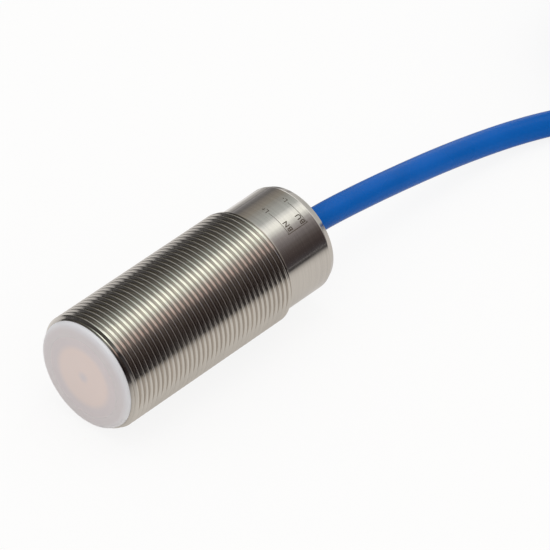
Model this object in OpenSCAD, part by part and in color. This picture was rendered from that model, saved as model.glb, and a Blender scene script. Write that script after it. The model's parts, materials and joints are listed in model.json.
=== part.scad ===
// Cylindrical capacitive proximity sensor, lying on its side with its lead folded behind it.
// The sensor's axis runs along Y, the sensing face looks along -Y and the lead leaves along +Y.

/* [Sleeve] */
// Outside diameter over the thread crests
thread_d = 30; // [25:0.5:36]
// Pitch of the thread
thread_pitch = 1.5; // [1:0.25:2]
// Length of the threaded part
thread_len = 54; // [44:1:66]
// Length of the smooth collar behind the thread
collar_len = 15.4; // [12.6:0.2:20]
// How far the collar lies below the root of the thread
collar_drop = 0.23; // [0.1:0.01:0.5]
// Wall of the sleeve at the collar
sleeve_wall = 1.35; // [1.1:0.01:1.7]
// Length of the chamfer on the rear rim
rim_chamfer_len = 1.7; // [0.5:0.1:2]
// Depth of the chamfer on the rear rim
rim_chamfer_depth = 0.75; // [0.3:0.05:0.8]

/* [Sensing cap] */
// Thickness of the flange in front of the sleeve
flange_t = 1.6; // [1.2:0.1:2.4]
// How far the flange lies inside the thread crests
flange_inset = 1; // [0.5:0.1:1.2]
// Rounding of the flange's front edge, as far as the flange is thick enough
flange_round = 1.5; // [0.3:0.1:2]
// Thickness of the cap's front wall
face_t = 2; // [1.8:0.1:3]
// Wall of the cap's head, which carries the seal groove
head_wall = 1.85; // [1.7:0.05:2.2]
// Wall of the cap's skirt behind the head
skirt_wall = 1.2; // [1:0.05:1.5]
// Depth of the cap's head, from the front face to the step
head_len = 7.5; // [7:0.1:9]
// Length of the skirt inside the sleeve
skirt_len = 14; // [11.5:0.1:18]

/* [Electrodes] */
// Thickness of the copper electrodes
electrode_t = 0.3; // [0.1:0.05:0.4]
// Width of the guard ring
guard_w = 1; // [0.8:0.1:1.3]
// Gap between the sensing electrode and the guard ring
guard_gap = 0.65; // [0.4:0.05:0.9]
// Edge that the guard ring leaves free on its board
guard_edge = 0.2; // [0.1:0.05:0.4]
// Thickness of the round electrode board
electrode_board_t = 1.2; // [0.8:0.1:1.6]
// Diameter of the centre pin's head
pin_head_d = 2.7; // [2:0.1:3.4]
// Side of the square connecting pins
pin_w = 0.5; // [0.4:0.05:0.7]
// Length of the connecting pins behind the electrode board
pin_len = 6; // [5:0.5:8]
// Wall of the shield sleeve
shield_t = 0.3; // [0.2:0.05:0.5]
// Radial width of the ring that holds the electrode board
holder_w = 1.65; // [1.4:0.05:2]

/* [Circuit] */
// Thickness of the circuit board
board_t = 1.6; // [1:0.1:2]
// Free length between the circuit board and the rear cap
wiring_len = 9; // [8:0.5:12]
// How deep the board's front edge sits in the holder
slot_depth = 1.5; // [1:0.1:2]

/* [Rear end] */
// Length of the rear cap inside the sleeve
rear_cap_len = 11; // [10:0.5:12]
// How far the rear cap's face lies inside the rim
rear_recess = 0.4; // [0.2:0.1:0.8]
// Height of the cable boss behind the rim
boss_h = 3; // [2:0.5:5]
// Diameter of the cable boss at its foot
boss_d = 11; // [10:0.5:13]
// Diameter of the cable boss at its tip
boss_tip_d = 9.4; // [8.5:0.1:10]
// Chamfer on the outer edges of the rear cap and its boss
rear_edge = 0.25; // [0.1:0.05:0.4]
// Length of the rubber grommet round the cable
grommet_len = 7; // [5:0.5:8]
// Wall of the rubber grommet
grommet_wall = 1.9; // [1.2:0.1:2]
// Length of the crimped clamp ring
clamp_len = 3.4; // [2.5:0.1:4]
// Wall of the crimped clamp ring
clamp_wall = 1; // [0.6:0.1:1.4]

/* [Seals and fits] */
// Clearance on the radius of pieces that seat in one another
fit = 0.05; // [0.02:0.01:0.1]
// Play of a seal in its groove
seal_play = 0.02; // [0.01:0.01:0.04]
// Depth of the seal grooves
groove_depth = 1.1; // [0.9:0.05:1.2]
// Width of the seal grooves
groove_w = 1.6; // [1.4:0.1:1.9]
// Depth of the snap groove in the sleeve
snap_depth = 0.3; // [0.2:0.05:0.4]
// Width of the snap groove in the sleeve
snap_w = 1.6; // [1.2:0.1:2]
// Chamfer at both mouths of the bore
mouth_chamfer = 0.3; // [0.2:0.05:0.35]

/* [Cable] */
// Outside diameter of the cable's jacket
cable_d = 6.5; // [5:0.1:6.8]
// Diameter of an insulated core
core_d = 2; // [1.6:0.1:2.2]
// Diameter of a bare conductor
conductor_d = 1; // [0.8:0.1:1.2]
// Insulated length of the stripped core ends
core_end_len = 22; // [15:1:25]
// Bare length of the stripped core ends
bare_end_len = 8; // [5:1:10]

/* [Folded lead] */
// Radius of the inner turn's folds, along the cable's middle
fold_r = 19.5; // [19.5:0.5:22]
// Length of the straight runs between the folds
run_len = 54; // [50:1:60]
// Layers of cable in the hank
layers = 4; // [3:1:4]
// Thickness of the ties, which also lifts the hank off the table
tie_t = 0.8; // [0.5:0.1:1]
// Width of the ties
tie_w = 3.6; // [2.5:0.1:5]

/* [Hidden] */
$fn = 96;
eps = 0.01;

// Depth of a metric thread for each millimetre of its pitch
depth_per_pitch = 0.6134;

// Radii, from the thread inwards
thread_r = thread_d / 2;
thread_depth = depth_per_pitch * thread_pitch;
root_r = thread_r - thread_depth;
collar_r = root_r - collar_drop;
bore_r = collar_r - sleeve_wall;
flange_r = thread_r - flange_inset;
skirt_r = bore_r - fit;
head_bore_r = skirt_r - head_wall;
skirt_bore_r = skirt_r - skirt_wall;
cable_r = cable_d / 2;
core_r = core_d / 2;
conductor_r = conductor_d / 2;

// Places along the axis, counted from the front face
sleeve_len = thread_len + collar_len;
sleeve_end = flange_t + sleeve_len;
skirt_end = flange_t + skirt_len;
body_len = sleeve_end + boss_h;
electrode_back = face_t + electrode_t;
holder_front = electrode_back + electrode_board_t;
board_front = head_len - slot_depth;
rear_cap_front = sleeve_end - rear_cap_len;
board_end = rear_cap_front - wiring_len;
board_len = board_end - board_front - fit;

// The sensor rests on its thread crests, and its middle is over the origin
axis_h = thread_r;
half_len = body_len / 2;

// Electrodes, board and pins
electrode_board_r = head_bore_r - fit;
guard_r = electrode_board_r - guard_edge;
guard_in_r = guard_r - guard_w;
electrode_r = guard_in_r - guard_gap;
pin_x = guard_in_r + guard_w / 2;
pin_hole = pin_w + 4 * fit;
board_half_w = pin_x + pin_w / 2;
board_top = pin_w / 2;
shield_r = skirt_bore_r - fit;
shield_in_r = shield_r - shield_t;
holder_in_r = electrode_board_r - holder_w;

// Rear end
grommet_r = cable_r + grommet_wall;
clamp_r = cable_r + clamp_wall;
rear_cap_r = bore_r - fit;
cap_groove_at = 1.4;
rear_groove_at = 2.6;
snap_at = 3.4;
cable_inner_len = 6;
seal_r = groove_depth / 2 - seal_play;
seal_mid_r = bore_r - groove_depth / 2;

// The flange's rounding leaves a narrow straight side
flange_side = 0.1;
front_round = min(flange_round, flange_t - flange_side);

// Cores inside the sensor
core_x = core_r + 2 * fit;
core_drop = board_top - 2 * fit - core_r;
core_hole_r = conductor_r + 3 * fit;
core_hole_at = board_end - 2.8;
core_strip_at = board_end - 1;

// Places of the electronic pieces: across the board, and behind the front face
oscillator_at = [-3.5, board_front + 7];
trigger_at = [3.5, board_front + 11.5];
transistor_at = [-3.2, board_front + 16.5];
trimmer_at = [3.5, board_front + 5];
choke_at = [3.5, board_front + 19];
can_at = [-3.5, board_end - 14];
diode_x = 3.6;
diode_s = board_end - 7;
chip_row_s = board_front + 4;
chip_row_pitch = 4;
capacitor_row_x = -4.5;
resistor_rows_x = [0, 4.5];

// Chips with bent legs
chip_w = 3.9;
chip_h = 1.4;
chip_lift = 0.1;
oscillator_len = 8.65;
oscillator_legs = 7;
trigger_len = 4.9;
trigger_legs = 4;
leg_pitch = 1.27;
leg_w = 0.42;
leg_reach = 1.05;
leg_t = 0.2;
leg_top = 0.8;

// Blocks: width, height and length along the sensor
transistor_body = [6.5, 2.3, 6];
transistor_tab = [5.2, 0.5, 1.4];
transistor_leg = [0.7, 0.5, 1];
transistor_leg_x = 2.28;
diode_body = [2.6, 2, 4.3];
diode_foot = [1.5, 0.4, 1];
capacitor_chip = [1.25, 0.8, 2];
resistor_chip = [1.25, 0.5, 2];

// Trimmer, choke and capacitor can
trimmer_side = 4.6;
trimmer_h = 2.2;
trimmer_pocket = 0.8;
rotor_r = 1.5;
rotor_slot_w = 0.5;
choke_r = 2.9;
choke_waist_r = 1.4;
winding_r = 2.5;
choke_flange_t = 0.9;
choke_h = 4;
can_r = 2.5;
can_len = 8;
can_groove = 0.25;

// The lead's route from the boss to the hank, along the cable's middle, at the standard sizes
route = [
    [0, 37, 15], [0, 43, 15], [0, 49.5, 14.5], [0.5, 57, 13.5], [0.5, 64, 12.5], [0.5, 71, 11],
    [0.5, 78, 9.75], [0.5, 85, 8.25], [0.5, 91.5, 7], [1, 98, 5.5], [2, 104.5, 4.5],
    [3, 110.5, 4], [4.5, 116, 3.5], [6.5, 121.5, 3.25], [11, 128.5, 3.25], [16, 136, 3.25]
];
route_from = route[0];
route_to = route[len(route) - 1];
cable_sides = 12;

// The same route for any length and diameter of the sensor
lead = [
    for (p = route)
        let (rise = (p[2] - route_to[2]) / (route_from[2] - route_to[2]))
        [p[0], half_len + p[1] - route_from[1], cable_r + rise * (axis_h - cable_r)]
];

// The hank of folded lead: two turns side by side in each layer
hank_x = 6;
hank_y = half_len + 131;
outer_fold_r = fold_r + cable_d;
hank_out_r = outer_fold_r + cable_r;
hank_in_r = fold_r - cable_r;
hank_top = tie_t + layers * cable_d;
lead_in_len = 20;
jacket_end_y = hank_y + 28;
tie_y = hank_y + 20;
tie_head = [5, 5.4, 2.2];

function unit(v) = v / norm(v);
function heading(p, i) =
    i == 0 ? unit(p[1] - p[0])
    : i == len(p) - 1 ? unit(p[i] - p[i - 1])
    : unit(unit(p[i + 1] - p[i]) + unit(p[i] - p[i - 1]));
function ring_points(p, i, r, sides) =
    let (t = heading(p, i), u = unit(cross([0, 0, 1], t)), w = cross(t, u))
    [for (k = [0 : sides - 1]) p[i] + r * (cos(360 * k / sides) * u + sin(360 * k / sides) * w)];
function stadium(r, run) = concat(
    [for (a = [0 : 15 : 180]) [r * cos(a), run + r * sin(a)]],
    [for (a = [180 : 15 : 360]) [r * cos(a), r * sin(a)]]
);

// Places its children on the sensor's axis, s behind the front face, with Z pointing to the rear
module on_axis(s = 0) {
    translate([0, s - half_len, axis_h])
        rotate([-90, 0, 0])
            children();
}

module tube_ring(r_out, r_in, h) {
    rotate_extrude()
        translate([r_in, 0])
            square([r_out - r_in, h]);
}

// A seal ring, with its middle s behind the front face
module seal(s) {
    color("#2b2b2d")
        on_axis(s)
            rotate_extrude()
                translate([seal_mid_r, 0])
                    circle(r = seal_r, $fn = 32);
}

// A box that stands on the board, centred on its foot
module block(size) {
    translate([-size[0] / 2, 0, -size[2] / 2])
        cube(size);
}

// Upper and lower sides of the circuit board: Y of the children points away from the board
module on_top(at) {
    on_axis()
        translate([at[0], board_top, at[1]])
            mirror([0, 1, 0])
                children();
}

module under_board(at) {
    on_axis()
        translate([at[0], board_top + board_t, at[1]])
            children();
}

module sleeve() {
    snap_from = sleeve_len - snap_at - snap_w;
    color("#b9b3a8")
        on_axis(flange_t)
            rotate_extrude()
                polygon([
                    [bore_r, mouth_chamfer],
                    [bore_r + mouth_chamfer, 0],
                    [root_r, 0],
                    [thread_r, thread_depth],
                    [thread_r, thread_len - (thread_r - collar_r)],
                    [collar_r, thread_len],
                    [collar_r, sleeve_len - rim_chamfer_len],
                    [collar_r - rim_chamfer_depth, sleeve_len],
                    [bore_r + mouth_chamfer, sleeve_len],
                    [bore_r, sleeve_len - mouth_chamfer],
                    [bore_r, snap_from + snap_w],
                    [bore_r + snap_depth, snap_from + snap_w],
                    [bore_r + snap_depth, snap_from],
                    [bore_r, snap_from]
                ]);
}

module sensing_cap() {
    round_steps = 8;
    groove_from = flange_t + cap_groove_at;
    front_edge = [
        for (k = [0 : round_steps])
            let (a = 90 * k / round_steps)
            [flange_r - front_round * (1 - sin(a)), front_round * (1 - cos(a))]
    ];
    color([0.86, 0.86, 0.88, 0.75])
        on_axis()
            rotate_extrude()
                polygon(concat(
                    [[0, 0]],
                    front_edge,
                    [
                        [flange_r, flange_t],
                        [skirt_r, flange_t],
                        [skirt_r, groove_from],
                        [bore_r - groove_depth, groove_from],
                        [bore_r - groove_depth, groove_from + groove_w],
                        [skirt_r, groove_from + groove_w],
                        [skirt_r, skirt_end],
                        [skirt_bore_r, skirt_end],
                        [skirt_bore_r, head_len],
                        [head_bore_r, head_len],
                        [head_bore_r, face_t],
                        [0, face_t]
                    ]
                ));
}

module cap_seal() {
    seal(flange_t + cap_groove_at + groove_w / 2);
}

module sensing_electrode() {
    color("#d9a98c")
        on_axis(face_t)
            tube_ring(electrode_r, pin_head_d / 2 + fit, electrode_t);
}

module guard_ring() {
    color("#c8cbd0")
        on_axis(face_t)
            tube_ring(guard_r, guard_in_r, electrode_t);
}

module square_pin(x, s, l) {
    on_axis(s)
        translate([x - pin_w / 2, -pin_w / 2, 0])
            cube([pin_w, pin_w, l]);
}

module square_hole(x, s, l) {
    on_axis(s - eps)
        translate([x - pin_hole / 2, -pin_hole / 2, 0])
            cube([pin_hole, pin_hole, l + 2 * eps]);
}

module electrode_board() {
    color("#3f6b48")
        difference() {
            on_axis(electrode_back)
                cylinder(r = electrode_board_r, h = electrode_board_t);
            for (x = [-pin_x, 0, pin_x])
                square_hole(x, electrode_back, electrode_board_t);
        }
}

module centre_pin() {
    color("#c9c9cd") {
        on_axis(face_t)
            cylinder(r = pin_head_d / 2, h = electrode_t);
        square_pin(0, electrode_back - eps, electrode_board_t + pin_len + eps);
    }
}

module guard_pins() {
    color("#c9c9cd")
        for (x = [-pin_x, pin_x])
            square_pin(x, electrode_back, electrode_board_t + pin_len);
}

module board_holder() {
    slot_w = 2 * (board_half_w + 2 * fit);
    slot_t = board_t + pin_w + 2 * fit;
    color("#e4e0d4")
        difference() {
            on_axis(holder_front)
                tube_ring(electrode_board_r, holder_in_r, head_len - holder_front);
            on_axis(board_front)
                translate([-slot_w / 2, -board_top - fit, 0])
                    cube([slot_w, slot_t, slot_depth + eps]);
            for (x = [-pin_x, pin_x])
                square_hole(x, holder_front, slot_depth + 1);
        }
}

module shield_sleeve() {
    color("#c9a45a")
        on_axis(head_len)
            tube_ring(shield_r, shield_in_r, skirt_end - head_len);
}

module board_blank() {
    on_axis(board_front + fit)
        translate([-board_half_w, board_top, 0])
            cube([2 * board_half_w, board_t, board_len]);
}

module circuit_board() {
    color("#2f6f4f")
        difference() {
            board_blank();
            for (x = [-core_x, core_x])
                on_axis()
                    translate([x, board_top - 1, core_hole_at])
                        rotate([-90, 0, 0])
                            cylinder(r = core_hole_r, h = board_t + 2, $fn = 32);
        }
}

// Bent leg of a chip, seen along the board; x runs outwards from the chip's side
module bent_leg() {
    translate([0, 0, -leg_w / 2])
        linear_extrude(leg_w)
            polygon([
                [-eps, leg_top - leg_t],
                [leg_t, leg_top - leg_t],
                [leg_t, 0],
                [leg_reach, 0],
                [leg_reach, leg_t],
                [2 * leg_t, leg_t],
                [2 * leg_t, leg_top],
                [-eps, leg_top]
            ]);
}

module chip(body_l, legs) {
    translate([0, chip_lift, 0])
        block([chip_w, chip_h, body_l]);
    for (k = [0 : legs - 1], side = [0, 1])
        mirror([side, 0, 0])
            translate([chip_w / 2, 0, (k - (legs - 1) / 2) * leg_pitch])
                bent_leg();
}

module oscillator_chip() {
    color("#2a2a2c")
        on_top(oscillator_at)
            chip(oscillator_len, oscillator_legs);
}

module trigger_chip() {
    color("#2a2a2c")
        on_top(trigger_at)
            chip(trigger_len, trigger_legs);
}

module output_transistor() {
    color("#303033")
        on_top(transistor_at) {
            block(transistor_body);
            translate([0, 0, -transistor_body[2] / 2 - transistor_tab[2] / 2 + eps])
                block(transistor_tab);
            for (x = [-transistor_leg_x, transistor_leg_x])
                translate([x, 0, transistor_body[2] / 2 + transistor_leg[2] / 2 - eps])
                    block(transistor_leg);
        }
}

module trimmer_body() {
    color("#3567a8")
        on_top(trimmer_at)
            difference() {
                block([trimmer_side, trimmer_h, trimmer_side]);
                translate([0, trimmer_h - trimmer_pocket, 0])
                    rotate([-90, 0, 0])
                        cylinder(r = rotor_r + fit, h = trimmer_pocket + 1, $fn = 32);
            }
}

module trimmer_rotor() {
    color("#e8e4da")
        on_top(trimmer_at)
            difference() {
                translate([0, trimmer_h - trimmer_pocket, 0])
                    rotate([-90, 0, 0])
                        cylinder(r = rotor_r, h = trimmer_pocket, $fn = 32);
                translate([-rotor_slot_w / 2, trimmer_h - trimmer_pocket / 2, -rotor_r - 1])
                    cube([rotor_slot_w, trimmer_pocket, 2 * rotor_r + 2]);
            }
}

module choke_core() {
    color("#3a3a3d")
        on_top(choke_at)
            rotate([-90, 0, 0])
                rotate_extrude($fn = 48)
                    polygon([
                        [0, 0],
                        [choke_r, 0],
                        [choke_r, choke_flange_t],
                        [choke_waist_r, choke_flange_t],
                        [choke_waist_r, choke_h - choke_flange_t],
                        [choke_r, choke_h - choke_flange_t],
                        [choke_r, choke_h],
                        [0, choke_h]
                    ]);
}

module choke_winding() {
    color("#b5673a")
        on_top(choke_at)
            translate([0, choke_flange_t, 0])
                rotate([-90, 0, 0])
                    rotate_extrude($fn = 48)
                        translate([choke_waist_r, 0])
                            square([winding_r - choke_waist_r, choke_h - 2 * choke_flange_t]);
}

module filter_capacitor() {
    color("#3b4a70")
        on_top(can_at)
            translate([0, chip_lift + can_r, 0])
                rotate_extrude($fn = 48)
                    polygon([
                        [0, 0],
                        [can_r, 0],
                        [can_r, can_len - 6 * can_groove],
                        [can_r - can_groove, can_len - 5 * can_groove],
                        [can_r - can_groove, can_len - 4 * can_groove],
                        [can_r, can_len - 3 * can_groove],
                        [can_r, can_len],
                        [0, can_len]
                    ]);
}

module chip_capacitors() {
    color("#b08d63")
        for (k = [0 : 5])
            under_board([capacitor_row_x, chip_row_s + k * chip_row_pitch])
                block(capacitor_chip);
}

module chip_resistors() {
    color("#26262a")
        for (x = resistor_rows_x, k = [0 : 4])
            under_board([x, chip_row_s + 1 + k * chip_row_pitch])
                block(resistor_chip);
}

module protection_diodes() {
    color("#2d2d30")
        for (x = [-diode_x, diode_x])
            under_board([x, diode_s]) {
                translate([0, chip_lift, 0])
                    block(diode_body);
                for (side = [-1, 1])
                    translate([0, 0, side * (diode_body[2] + diode_foot[2] / 2) / 2])
                        block(diode_foot);
            }
}

module core_inside(x) {
    on_axis(core_strip_at)
        translate([x, core_drop, 0])
            cylinder(r = core_r, h = rear_cap_front - cable_inner_len - core_strip_at, $fn = 32);
    on_axis(core_hole_at)
        translate([x, core_drop, 0])
            cylinder(r = conductor_r - fit, h = core_strip_at - core_hole_at + eps, $fn = 32);
    on_axis(core_hole_at)
        translate([x, core_drop - conductor_r, 0])
            rotate([-90, 0, 0])
                cylinder(r = conductor_r, h = board_top + board_t - core_drop + 2 * conductor_r, $fn = 32);
}

module brown_core() {
    color("#6a4128")
        core_inside(-core_x);
}

module blue_core() {
    color("#2d62b5")
        core_inside(core_x);
}

module cable_inner_end() {
    color("#1e5cb3")
        on_axis(rear_cap_front - cable_inner_len)
            cylinder(r = cable_r, h = cable_inner_len + rear_cap_len + boss_h);
}

module clamp_ring() {
    color("#c3b48a")
        on_axis(rear_cap_front - clamp_len)
            tube_ring(clamp_r, cable_r, clamp_len);
}

module cable_grommet() {
    color("#26262a")
        on_axis(rear_cap_front)
            tube_ring(grommet_r, cable_r, grommet_len);
}

module rear_cap() {
    face_at = rear_cap_len - rear_recess;
    tip_at = rear_cap_len + boss_h;
    bead_from = rear_cap_len - snap_at - snap_w + fit;
    bead_to = rear_cap_len - snap_at - fit;
    color("#3a3b3e")
        on_axis(rear_cap_front)
            rotate_extrude()
                polygon([
                    [grommet_r + fit, 0],
                    [rear_cap_r, 0],
                    [rear_cap_r, rear_groove_at],
                    [bore_r - groove_depth, rear_groove_at],
                    [bore_r - groove_depth, rear_groove_at + groove_w],
                    [rear_cap_r, rear_groove_at + groove_w],
                    [rear_cap_r, bead_from],
                    [rear_cap_r + snap_depth, bead_to],
                    [rear_cap_r, bead_to],
                    [rear_cap_r, face_at - rear_edge],
                    [rear_cap_r - rear_edge, face_at],
                    [boss_d / 2, face_at],
                    [boss_tip_d / 2, tip_at - rear_edge],
                    [boss_tip_d / 2 - rear_edge, tip_at],
                    [cable_r + fit, tip_at],
                    [cable_r + fit, grommet_len],
                    [grommet_r + fit, grommet_len]
                ]);
}

module rear_seal() {
    seal(rear_cap_front + rear_groove_at + groove_w / 2);
}

module potting() {
    color("#454038")
        difference() {
            on_axis()
                rotate_extrude()
                    polygon([
                        [0, holder_front],
                        [holder_in_r, holder_front],
                        [holder_in_r, head_len],
                        [shield_in_r, head_len],
                        [shield_in_r, skirt_end],
                        [bore_r, skirt_end],
                        [bore_r, rear_cap_front],
                        [0, rear_cap_front]
                    ]);
            board_blank();
            for (x = [-pin_x, 0, pin_x])
                square_pin(x, holder_front - eps, pin_len + eps);
            oscillator_chip();
            trigger_chip();
            output_transistor();
            on_top(trimmer_at)
                block([trimmer_side, trimmer_h, trimmer_side]);
            on_top(choke_at)
                rotate([-90, 0, 0])
                    cylinder(r = choke_r, h = choke_h, $fn = 48);
            filter_capacitor();
            chip_capacitors();
            chip_resistors();
            protection_diodes();
            brown_core();
            blue_core();
            cable_inner_end();
            on_axis(rear_cap_front - clamp_len)
                cylinder(r = clamp_r, h = clamp_len + eps);
        }
}

// The stretch of lead that is not folded, swept along the route
module cable() {
    n = len(lead);
    sides = cable_sides;
    color("#1e5cb3")
        polyhedron(
            points = [for (i = [0 : n - 1]) each ring_points(lead, i, cable_r, sides)],
            faces = concat(
                [[for (k = [0 : sides - 1]) k]],
                [
                    for (i = [0 : n - 2], k = [0 : sides - 1])
                        let (a = i * sides + k, b = i * sides + (k + 1) % sides)
                        [a, a + sides, b + sides, b]
                ],
                [[for (k = [sides - 1 : -1 : 0]) (n - 1) * sides + k]]
            )
        );
}

// The folded lead as one solid of its outer shape, open along its middle
module cable_hank() {
    last = len(lead) - 1;
    way = lead[last] - lead[last - 1];
    color("#1e5cb3")
        difference() {
            union() {
                translate([hank_x, hank_y, tie_t])
                    linear_extrude(layers * cable_d)
                        difference() {
                            polygon(stadium(hank_out_r, run_len));
                            polygon(stadium(hank_in_r, run_len));
                        }
                translate(lead[last])
                    rotate([-90, 0, -atan2(way[0], way[1])])
                        cylinder(r = cable_r, h = lead_in_len, $fn = 48);
            }
            // The last turn stops here, and its stripped cores lie in the free track
            translate([hank_x + outer_fold_r - cable_r, jacket_end_y, hank_top - cable_d])
                cube([2 * cable_d, core_end_len + bare_end_len + 1, 2 * cable_d]);
            // The ties draw the runs in by their own thickness
            for (side = [-1, 1])
                translate([hank_x + side * hank_out_r - tie_t, tie_y - tie_w / 2, 0])
                    cube([2 * tie_t, tie_w, hank_top + 1]);
        }
}

module tie(side) {
    low = side > 0 ? hank_in_r - tie_t : -hank_out_r;
    wide = hank_out_r - hank_in_r + tie_t;
    translate([hank_x + low, tie_y - tie_w / 2, 0]) {
        difference() {
            cube([wide, tie_w, hank_top + tie_t]);
            translate([tie_t, -1, tie_t])
                cube([wide - 2 * tie_t, tie_w + 2, hank_top - tie_t]);
        }
        translate([wide / 2 - tie_head[0] / 2, tie_w / 2 - tie_head[1] / 2, hank_top + tie_t - eps])
            cube(tie_head);
    }
}

module hank_ties() {
    color("#e9e9e6")
        for (side = [-1, 1])
            tie(side);
}

module core_end(x) {
    core_z = hank_top - cable_d + core_r + 0.4;
    translate([hank_x + outer_fold_r + x, jacket_end_y, core_z])
        rotate([-90, 0, 0]) {
            cylinder(r = core_r, h = core_end_len, $fn = 32);
            cylinder(r = conductor_r, h = core_end_len + bare_end_len, $fn = 32);
        }
}

module brown_core_end() {
    color("#6a4128")
        core_end(-core_x);
}

module blue_core_end() {
    color("#2d62b5")
        core_end(core_x);
}

sleeve();
sensing_cap();
cap_seal();
sensing_electrode();
guard_ring();
electrode_board();
centre_pin();
guard_pins();
board_holder();
shield_sleeve();
circuit_board();
oscillator_chip();
trigger_chip();
output_transistor();
trimmer_body();
trimmer_rotor();
choke_core();
choke_winding();
filter_capacitor();
chip_capacitors();
chip_resistors();
protection_diodes();
potting();
rear_cap();
rear_seal();
cable_grommet();
clamp_ring();
brown_core();
blue_core();
cable_inner_end();
cable();
cable_hank();
hank_ties();
brown_core_end();
blue_core_end();
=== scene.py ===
"""Looks of a cylindrical proximity sensor with its lead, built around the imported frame.

The sensor's axis is Y, its sensing face looks along -Y and it lies on the plane z = 0.
"""

import json
import math

import bmesh
import bpy
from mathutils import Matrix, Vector


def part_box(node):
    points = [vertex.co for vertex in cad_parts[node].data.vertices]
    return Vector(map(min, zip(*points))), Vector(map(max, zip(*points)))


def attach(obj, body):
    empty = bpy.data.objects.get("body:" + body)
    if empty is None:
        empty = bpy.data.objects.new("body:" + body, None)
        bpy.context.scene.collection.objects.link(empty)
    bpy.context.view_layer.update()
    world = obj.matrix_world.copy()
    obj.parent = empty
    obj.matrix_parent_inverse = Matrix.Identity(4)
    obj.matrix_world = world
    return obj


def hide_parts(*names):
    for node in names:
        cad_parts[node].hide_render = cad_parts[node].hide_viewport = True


bl_info = {
    "name": "Proximity sensor looks",
    "version": (1, 0, 0),
    "blender": (4, 5, 0),
    "location": "3D View > Sidebar > Sensor",
    "description": "Thread, cap, lead and finishes of a cylindrical proximity sensor",
    "category": "Object",
}

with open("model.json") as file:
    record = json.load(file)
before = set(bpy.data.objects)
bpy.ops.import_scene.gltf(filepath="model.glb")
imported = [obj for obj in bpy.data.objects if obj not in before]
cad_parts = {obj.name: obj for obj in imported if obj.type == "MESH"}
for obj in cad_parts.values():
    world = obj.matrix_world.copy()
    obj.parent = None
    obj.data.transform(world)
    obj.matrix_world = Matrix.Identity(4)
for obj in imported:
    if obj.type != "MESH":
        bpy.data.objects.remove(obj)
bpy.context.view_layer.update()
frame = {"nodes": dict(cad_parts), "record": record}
NODES = frame["nodes"]
BODY = "root"
MM = 0.001

# Places that come from the frame, in metres
AXIS_Z = sum(corner[2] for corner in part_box("sleeve")) / 2
FACE_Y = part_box("sensing_cap")[0][1]
SLEEVE_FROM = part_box("sleeve")[0][1]
SLEEVE_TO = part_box("sleeve")[1][1]
BOSS_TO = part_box("rear_cap")[1][1]
CREST_R = (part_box("sleeve")[1][0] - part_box("sleeve")[0][0]) / 2
TIE_Y = sum(corner[1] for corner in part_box("hank_ties")) / 2
HANK_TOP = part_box("cable_hank")[1][2]

# The lead's route from the boss to the hank, as in the part's source, in metres
ROUTE = [
    (0, 0.037, 0.015), (0, 0.043, 0.015), (0, 0.0495, 0.0145), (0.0005, 0.057, 0.0135),
    (0.0005, 0.064, 0.0125), (0.0005, 0.071, 0.011), (0.0005, 0.078, 0.00975),
    (0.0005, 0.085, 0.00825), (0.0005, 0.0915, 0.007), (0.001, 0.098, 0.0055),
    (0.002, 0.1045, 0.0045), (0.003, 0.1105, 0.004), (0.0045, 0.116, 0.0035),
    (0.0065, 0.1215, 0.00325), (0.011, 0.1285, 0.00325), (0.016, 0.136, 0.00325),
]

# Play between pieces that fit into each other, and the seal grooves of the two end pieces
PLAY = 0.05 * MM
GROOVE_DEEP = 1.1 * MM
GROOVE_WIDE = 1.6 * MM

# Vertices of a profile or a turned piece that lie closer than this are one
WELD = 0.001 * MM


def length(name, description, default, **limits):
    """A length that a user may change, in metres."""
    return bpy.props.FloatProperty(name=name, description=description, default=default,
                                   subtype="DISTANCE", unit="LENGTH", **limits)


def tint(name, description, default):
    """A colour that a user may change."""
    return bpy.props.FloatVectorProperty(name=name, description=description, default=default,
                                         size=3, min=0, max=1, subtype="COLOR")


class SleeveSizes(bpy.types.PropertyGroup):
    """Sizes and colours of the threaded sleeve."""

    pitch: length("Thread pitch", "Distance between two crests", 1.5 * MM,
                  min=0.5 * MM, max=3 * MM)
    crest_flat: length("Crest width", "Width of the flat on each crest", 0.27 * MM,
                       min=0, max=0.5 * MM)
    collar_drop: length("Collar drop", "How far the collar lies below the thread crests",
                        1.15 * MM, min=0, max=3 * MM)
    collar_len: length("Collar length", "Length of the smooth collar", 15.4 * MM,
                       min=5 * MM, max=40 * MM)
    wall: length("Sleeve wall", "Wall of the sleeve at the collar", 1.35 * MM,
                 min=0.5 * MM, max=3 * MM)
    rim_len: length("Rim length", "Length of the chamfer on the rear rim", 1.7 * MM,
                    min=0, max=3 * MM)
    rim_depth: length("Rim depth", "Depth of the chamfer on the rear rim", 0.75 * MM,
                      min=0, max=1.2 * MM)
    rim_round: length("Rim rounding", "Rounding where the collar meets the rim's chamfer",
                      1.1 * MM, min=0.1 * MM, max=2 * MM)
    steps: bpy.props.IntProperty(
        name="Steps round", description="Faces in one turn of the thread", default=128,
        min=32, max=256)
    steel: tint("Steel", "Colour of the stainless steel", (0.69, 0.655, 0.61))


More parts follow.
